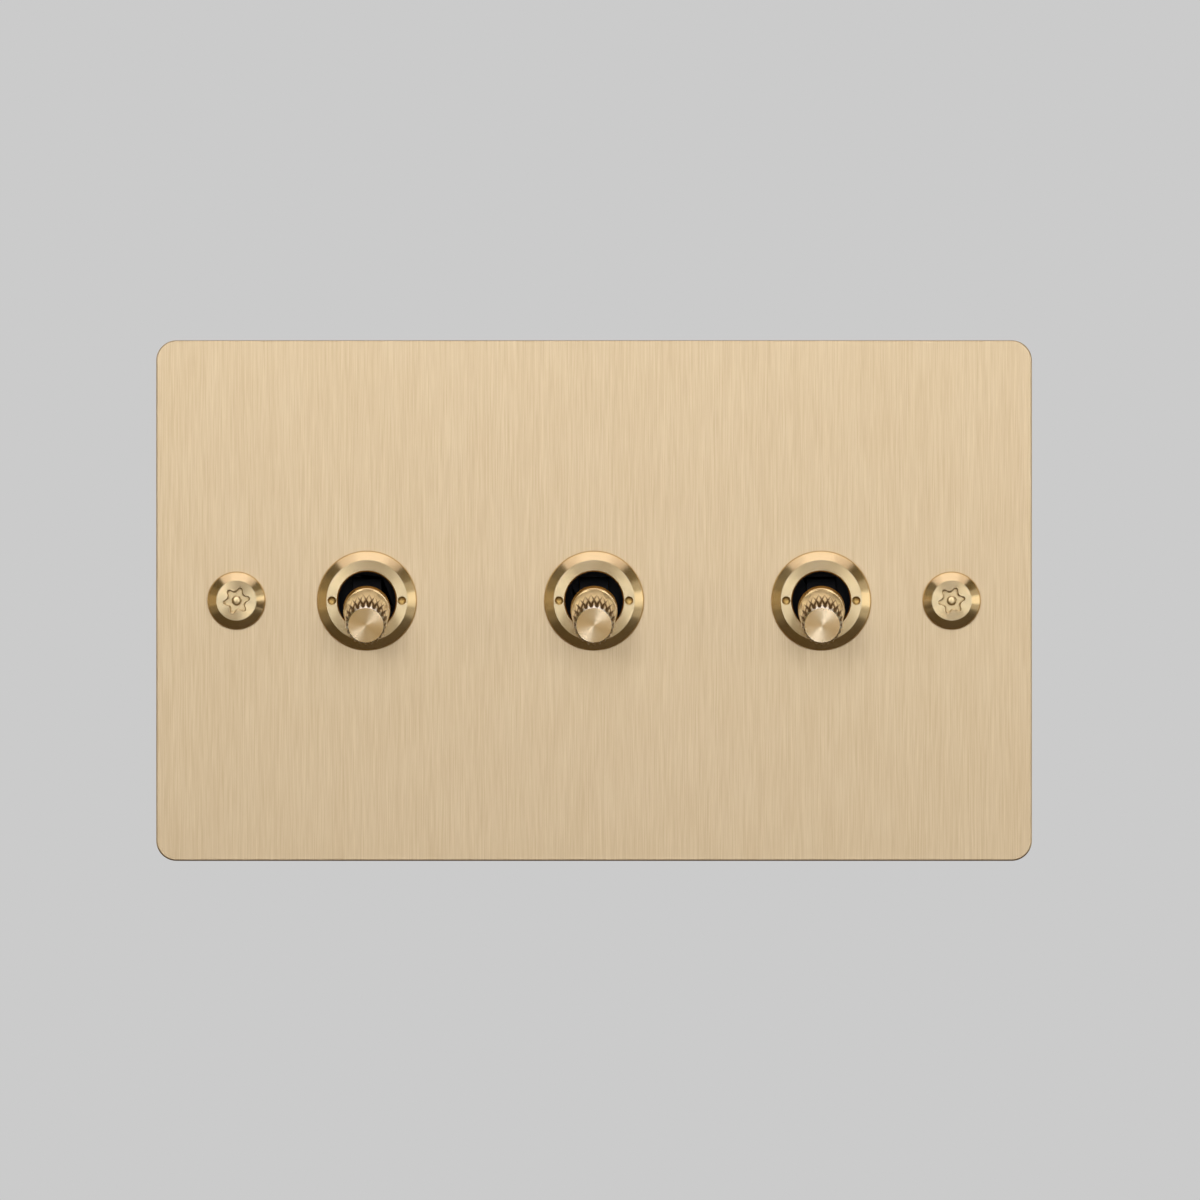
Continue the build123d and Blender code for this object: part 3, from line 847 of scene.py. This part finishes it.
# The collar's and neck's sides are painted a deep golden brown: a painted reflection of the brass round them.
collar_reflection_brass = plain_metal("brass, turned collar, painted reflection", "BE9040", "CFA252", 0.42, 0.52, 0.4 * mm)
barrel_mesh = baked(
    knurl_tree(),
    {
        "Start": collar_end,
        "Length": barrel_length,
        "Rear radius": barrel_rear_radius,
        "Tip radius": barrel_tip_radius,
        "Face radius": tip_face_radius,
        "Starts": float(knurl_starts),
        "Drift": barrel_length * tan(knurl_angle) / barrel_pitch,
        "Rear depth": knurl_rear_depth,
        "Tip depth": knurl_tip_depth,
        "Rise": barrel_pitch / tan(knurl_groove / 2),
        "Columns": knurl_columns,
        "Rows": knurl_rows,
        "Material": barrel_brass,
    },
)
collar_mesh = turned_mesh(
    [
        (0, lever_socket),
        (lever_neck_radius, lever_socket),
        (lever_neck_radius, collar_start),
        (collar_radius - collar_edge, collar_start),
        (collar_radius, collar_start + collar_edge),
        (collar_radius, collar_end - collar_edge),
        (collar_radius - collar_edge, collar_end),
        (0, collar_end),
    ]
)


def lever_mesh(pivot):
    """The barrel with its ends closed, the collar and the neck, set in the dolly at a pivot."""
    bm = bmesh.new()
    bm.from_mesh(barrel_mesh)
    knurled = list(bm.faces)
    bmesh.ops.holes_fill(bm, edges=[edge for edge in bm.edges if edge.is_boundary], sides=0)
    bm.from_mesh(collar_mesh)
    bmesh.ops.recalc_face_normals(bm, faces=bm.faces)
    knurl_slot, end_slot, side_reflection_slot = range(3)
    # Ends take the turned brass; sides take the collar's painted reflection colour.
    for face in bm.faces:
        face.material_index = end_slot if abs(face.normal.y) > cos(pi / 3) else side_reflection_slot
    for face in knurled:
        face.material_index = knurl_slot
    bm.transform(Matrix.Translation(pivot) @ Matrix.Rotation(lever_turn, 4, "X"))
    mesh = bpy.data.meshes.new("lever")
    bm.to_mesh(mesh)
    bm.free()
    for material in (barrel_brass, lever_brass, collar_reflection_brass):
        mesh.materials.append(material)
    return mesh


for number, pivot in zip(lever_numbers, lever_pivots):
    body, node_name = f"toggle_{number}", f"toggle_lever_{number}"
    finish_piece(f"lever_{number}", lever_mesh(pivot), body, [node_name], crease=25)

# Plungers and springs: a nylon slug in each dolly's tail, pushed out by a steel wire coil,
# snaps the rocker over as the lever passes its middle.


def white_nylon():
    """Nylon, moulded: milky white with a soft sheen and faint flow marks."""
    material, tree = start_material("white nylon, moulded")
    place = add_node(tree, "ShaderNodeTexCoord").outputs["Object"]
    flow = add_node(
        tree, "ShaderNodeTexNoise", {"Vector": place, "Scale": 1 / (1.5 * mm), "Detail": 2.0}
    ).outputs["Fac"]
    colour = add_node(
        tree,
        "ShaderNodeMix",
        {"Factor": flow, "A": linear("DAD8CF"), "B": linear("E8E6DE")},
        data_type="RGBA",
    )
    roughness = add_node(
        tree, "ShaderNodeMapRange", {"Value": flow, "To Min": 0.35, "To Max": 0.5}
    ).outputs["Result"]
    skin = add_node(
        tree,
        "ShaderNodeBsdfPrincipled",
        {"Base Color": colour.outputs["Result"], "Roughness": roughness, "IOR": 1.53},
    )
    add_node(tree, "ShaderNodeOutputMaterial", {"Surface": skin.outputs["BSDF"]})
    return material


nylon = white_nylon()
drawn_steel = plain_metal("steel wire, drawn", "9A9A98", "B4B4B2", 0.25, 0.4, 0.5 * mm)
for number in lever_numbers:
    dress(frame["nodes"][f"plunger_{number}"].data, nylon)
    dress(frame["nodes"][f"plunger_spring_{number}"].data, drawn_steel)

# Rockers and contact tips: pressed brass see-saws with silver tips, which meet
# the silver tips of the fixed contacts.
contact_silver = plain_metal("contact silver, pressed", "C9C8C2", "DDDCD7", 0.3, 0.42, 0.8 * mm)
terminal_brass = plain_metal("terminal brass, milled", "B8934F", "CFAC68", 0.28, 0.42, 0.9 * mm)
dress(frame["nodes"]["contact_tips"].data, contact_silver)
for number in lever_numbers:
    dress(frame["nodes"][f"rocker_contact_{number}"].data, terminal_brass)
    dress(frame["nodes"][f"rocker_tips_{number}"].data, contact_silver)

# Terminals: brass pillars behind the base, each on a strip through its floor. A wire goes
# into the round bore and a slotted steel screw in the pillar's side grips it.
pillar_edge = 0.25 * mm
clamp_radius = 1.5 * mm
clamp_proud = 0.5 * mm
clamp_sink = 1.0 * mm
clamp_edge = 0.15 * mm
clamp_slot_width = 0.6 * mm
clamp_slot_depth = 0.6 * mm
clamp_slot_turn = radians(20)
clamp_inset = 3.0 * mm
zinc_plate = plain_metal("steel, zinc plated", "A9ADB0", "C3C6C7", 0.28, 0.4, 1.2 * mm)


def box_mesh(size):
    """A box about the origin."""
    bm = bmesh.new()
    bmesh.ops.create_cube(bm, size=1.0, matrix=Matrix.Diagonal(Vector(size).to_4d()))
    mesh = bpy.data.meshes.new("box")
    bm.to_mesh(mesh)
    bm.free()
    return mesh


def clamp_screw_mesh():
    """A slotted screw end that stands along X with its head at +X."""
    blank = turned_mesh(
        [
            (0, -clamp_sink),
            (clamp_radius, -clamp_sink),
            (clamp_radius, clamp_proud - clamp_edge),
            (clamp_radius - clamp_edge, clamp_proud),
            (0, clamp_proud),
        ],
        steps=48,
    )
    slot = box_mesh((4 * clamp_radius, 2 * clamp_slot_depth, clamp_slot_width))
    slot.transform(Matrix.Translation((0, clamp_proud, 0)))
    mesh = carved(blank, slot)
    mesh.transform(Matrix.Rotation(clamp_slot_turn, 4, "Y"))
    mesh.transform(Matrix.Rotation(-pi / 2, 4, "Z"))
    return mesh


clamp_points = []
for number in lever_numbers:
    for place in ("upper", "common", "lower"):
        node_name = f"{place}_terminal_{number}"
        low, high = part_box(node_name)
        pillar = softened_mesh(node_name, pillar_edge)
        dress(pillar, terminal_brass)
        finish_piece(f"{node_name}_pillar", pillar, "wall_unit", [node_name])
        pillar_half = (high.x - low.x) / 2
        middle = {"upper": high.z - pillar_half, "common": 0, "lower": low.z + pillar_half}[place]
        clamp_points.append((high.x, high.y - clamp_inset, middle))
clamp_mesh = repeated(clamp_screw_mesh(), clamp_points, zinc_plate)
finish_piece("clamp_screws", clamp_mesh, "wall_unit")

# Earth stud: a brass stud welded on the plate's back, with a washer and a hexagon nut
# that grip the ring end of the earth wire.
earth_low, earth_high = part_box("earth_stud")
earth_x = (earth_low.x + earth_high.x) / 2
earth_z = (earth_low.z + earth_high.z) / 2
earth_radius = (earth_high.x - earth_low.x) / 2
earth_thread_depth = 0.3 * mm
earth_thread_pitch = 0.7 * mm
washer_radius = 4.3 * mm
washer_thickness = 0.8 * mm
nut_flat = 3.5 * mm
nut_height = 3.2 * mm
nut_edge = 0.3 * mm


def hexagon(angle):
    """The nut's outline."""
    return nut_flat / cos((angle + pi / 6) % (pi / 3) - pi / 6)


def chamfered_hexagon(angle):
    """The nut's outline where its end is turned off round."""
    return min(hexagon(angle), nut_flat + nut_edge / 3)


stud_rings = [(0, 0)]
stud_rings += thread_rings(earth_high.y, earth_radius, earth_thread_depth, earth_thread_pitch)
stud_rings.append((0, earth_high.y))
stud_mesh = repeated(turned_mesh(stud_rings, steps=48), [(earth_x, 0, earth_z)], terminal_brass)
finish_piece("earth_thread", stud_mesh, "wall_unit", ["earth_stud"])
washer_rings = [
    (earth_radius, 0),
    (washer_radius, 0),
    (washer_radius, washer_thickness),
    (earth_radius, washer_thickness),
]
nut_top = washer_thickness + nut_height
nut_rings = [
    (earth_radius, washer_thickness),
    (chamfered_hexagon, washer_thickness),
    (hexagon, washer_thickness + nut_edge),
    (hexagon, nut_top - nut_edge),
    (chamfered_hexagon, nut_top),
    (earth_radius, nut_top),
]
for name, rings in (("earth_washer", washer_rings), ("earth_nut", nut_rings)):
    ring_mesh = repeated(turned_mesh(rings, closed=True, steps=96), [(earth_x, 0, earth_z)], zinc_plate)
    finish_piece(name, ring_mesh, "wall_unit")

# Stage: a pale floor well below, a grey backdrop behind, and soft boxes round the switch's front
# in a dark room, as for a catalogue picture. A dark card keeps the floor out of the lower slopes.
floor_drop = 0.7
floor_radius = 5.0
card_drop = 0.2
card_radius = 0.34
card_stretch = 1.8


def stage_disc(name, radius, height):
    """A flat round sheet at a height."""
    bm = bmesh.new()
    bmesh.ops.create_circle(bm, cap_ends=True, segments=96, radius=radius)
    mesh = bpy.data.meshes.new(name)
    bm.to_mesh(mesh)
    bm.free()
    mesh.transform(Matrix.Translation((0, 0, height)))
    sheet = bpy.data.objects.new(name, mesh)
    bpy.context.scene.collection.objects.link(sheet)
    return sheet


def background_share(tree, behind):
    """How far a ray sees the pale background: the camera everywhere, metal and glass behind the switch."""
    rays = add_node(tree, "ShaderNodeLightPath").outputs
    mirrored = add_node(
        tree,
        "ShaderNodeMath",
        {0: rays["Is Glossy Ray"], 1: rays["Is Transmission Ray"]},
        operation="MAXIMUM",
    )
    part = add_node(tree, "ShaderNodeMath", {0: mirrored.outputs[0], 1: behind}, operation="MULTIPLY")
    return add_node(
        tree, "ShaderNodeMath", {0: rays["Is Camera Ray"], 1: part.outputs[0]}, operation="MAXIMUM"
    ).outputs[0]


def painted_sheet(name, hex_colour, glow=0.0):
    """Matt paint, rolled: an even colour with a faint texture, and a glow as part of the background."""
    material, tree = start_material(name)
    place = add_node(tree, "ShaderNodeTexCoord").outputs["Object"]
    nap = add_node(tree, "ShaderNodeTexNoise", {"Vector": place, "Scale": 1 / (3 * mm), "Detail": 2.0})
    bump = add_node(
        tree, "ShaderNodeBump", {"Height": nap.outputs["Fac"], "Strength": 0.05, "Distance": 0.1 * mm}
    )
    depth = add_node(tree, "ShaderNodeSeparateXYZ", {0: place}).outputs["Y"]
    behind = add_node(tree, "ShaderNodeMath", {0: depth, 1: 0.0}, operation="GREATER_THAN").outputs[0]
    strength = add_node(
        tree, "ShaderNodeMath", {0: background_share(tree, behind), 1: glow}, operation="MULTIPLY"
    )
    paint = add_node(
        tree,
        "ShaderNodeBsdfPrincipled",
        {
            "Base Color": linear(hex_colour),
            "Roughness": 0.8,
            "Normal": bump.outputs["Normal"],
            "Emission Color": linear(hex_colour),
            "Emission Strength": strength.outputs[0],
        },
    )
    add_node(tree, "ShaderNodeOutputMaterial", {"Surface": paint.outputs["BSDF"]})
    return material


floor = stage_disc("floor", floor_radius, -floor_drop)
floor.data.materials.append(painted_sheet("floor paint, matt", "D8D8D6", glow=0.8))
card = stage_disc("dark card", card_radius, -card_drop)
card.data.transform(Matrix.Diagonal((card_stretch, 1, 1, 1)))
card.data.materials.append(painted_sheet("card, matt brown", "645019"))
card.visible_camera = False
card.visible_diffuse = False
card.visible_shadow = False


def soft_box(name, place, width, height, power, colour="FFFFFF"):
    """A rectangular lamp at a place, turned towards the switch."""
    lamp = bpy.data.lights.new(name, "AREA")
    lamp.shape = "RECTANGLE"
    lamp.size = width
    lamp.size_y = height
    lamp.energy = power
    lamp.color = linear(colour)[:3]
    box = bpy.data.objects.new(name, lamp)
    turn = (-Vector(place)).to_track_quat("-Z", "Y")
    box.matrix_world = Matrix.Translation(place) @ turn.to_matrix().to_4x4()
    bpy.context.scene.collection.objects.link(box)
    box.visible_camera = False


# A strip's spread and edge stand in line behind it, so that its reflection fades out softly.
soft_box("overhead box", (0.02, -0.4, 0.7), width=1.2, height=0.38, power=1.52, colour="FFF6FD")
soft_box("overhead key", (0.02, -0.394, 0.69), width=0.5, height=0.38, power=0.13, colour="E4EAFF")
soft_box("right strip", (1.5, -0.86, 0.05), width=0.7, height=0.5, power=1.0)
soft_box("right strip, spread", (1.53, -0.877, 0.05), width=0.7, height=1.3, power=1.3)
soft_box("right strip, edge", (1.56, -0.894, 0.05), width=0.7, height=2.1, power=0.4, colour="FFE8C0")
soft_box("left strip", (-0.75, -0.43, 0.0), width=0.4, height=0.32, power=0.09, colour="FFE8C0")
soft_box("left strip, edge", (-0.77, -0.441, 0.0), width=0.4, height=0.8, power=0.14, colour="FFE8C0")
soft_box("upper panel", (0, -0.83, 0.46), width=0.5, height=0.33, power=1.7, colour="E4EAFF")
soft_box("right near box", (0.255, -0.735, 0.18), width=0.22, height=0.22, power=0.5, colour="F0F3FA")
soft_box("left near box", (-0.255, -0.735, 0.195), width=0.22, height=0.22, power=0.67, colour="F0F3FA")
soft_box("lower near box", (0.255, -0.735, -0.15), width=0.22, height=0.22, power=0.1, colour="F0F3FA")
soft_box("right front box", (0.6, -2.43, 0.0), width=0.5, height=0.8, power=3.1, colour="DFE9FF")
soft_box("left front box", (-0.6, -2.43, 0.0), width=0.5, height=0.8, power=3.1, colour="DFE9FF")
soft_box("front panel", (0, -3.4, 0.1), width=2.6, height=1.6, power=2.3, colour="EFF3FF")
soft_box("lower front box", (0, -1.1, -0.5), width=0.9, height=0.5, power=0.5, colour="FFDFA8")
soft_box("lower right box", (0.13, -1.685, -0.619), width=0.13, height=0.13, power=0.72, colour="C4D4FF")

world = bpy.data.worlds.new("grey studio")
world.use_nodes = True
bpy.context.scene.world = world
sky = world.node_tree
sky.nodes.clear()
direction = add_node(
    sky, "ShaderNodeSeparateXYZ", {0: add_node(sky, "ShaderNodeTexCoord").outputs["Generated"]}
).outputs
# The backdrop stands behind the switch, and the room in front of it is dark.
behind = add_node(
    sky, "ShaderNodeMapRange", {"Value": direction["Y"], "From Min": 0.05, "From Max": 0.35}
).outputs["Result"]
room = add_node(sky, "ShaderNodeBackground", {"Color": linear("FFD55C"), "Strength": 0.085})
backdrop = add_node(sky, "ShaderNodeBackground", {"Color": linear("CBCBCB"), "Strength": 1.0})
either = add_node(
    sky,
    "ShaderNodeMixShader",
    {0: background_share(sky, behind), 1: room.outputs[0], 2: backdrop.outputs[0]},
)
add_node(sky, "ShaderNodeOutputWorld", {"Surface": either.outputs[0]})
bpy.context.scene.view_settings.view_transform = "Standard"

# Camera: straight on through a long lens, so that the plate's sides stay out of sight.
# The frame is about a third wider than the plate, as in the picture.
view_width = 202.4 * mm
view_centre = Vector((1.0 * mm, plate_front, 0.1 * mm))
view_distance = 3.0
lens = bpy.data.cameras.new("camera")
lens.sensor_width = 36.0
lens.lens = lens.sensor_width * view_distance / view_width
lens.clip_start = 0.1
lens.clip_end = 50.0
camera = bpy.data.objects.new("camera", lens)
camera.location = view_centre - Vector((0, view_distance, 0))
camera.rotation_euler = (pi / 2, 0, 0)
bpy.context.scene.collection.objects.link(camera)
bpy.context.scene.camera = camera
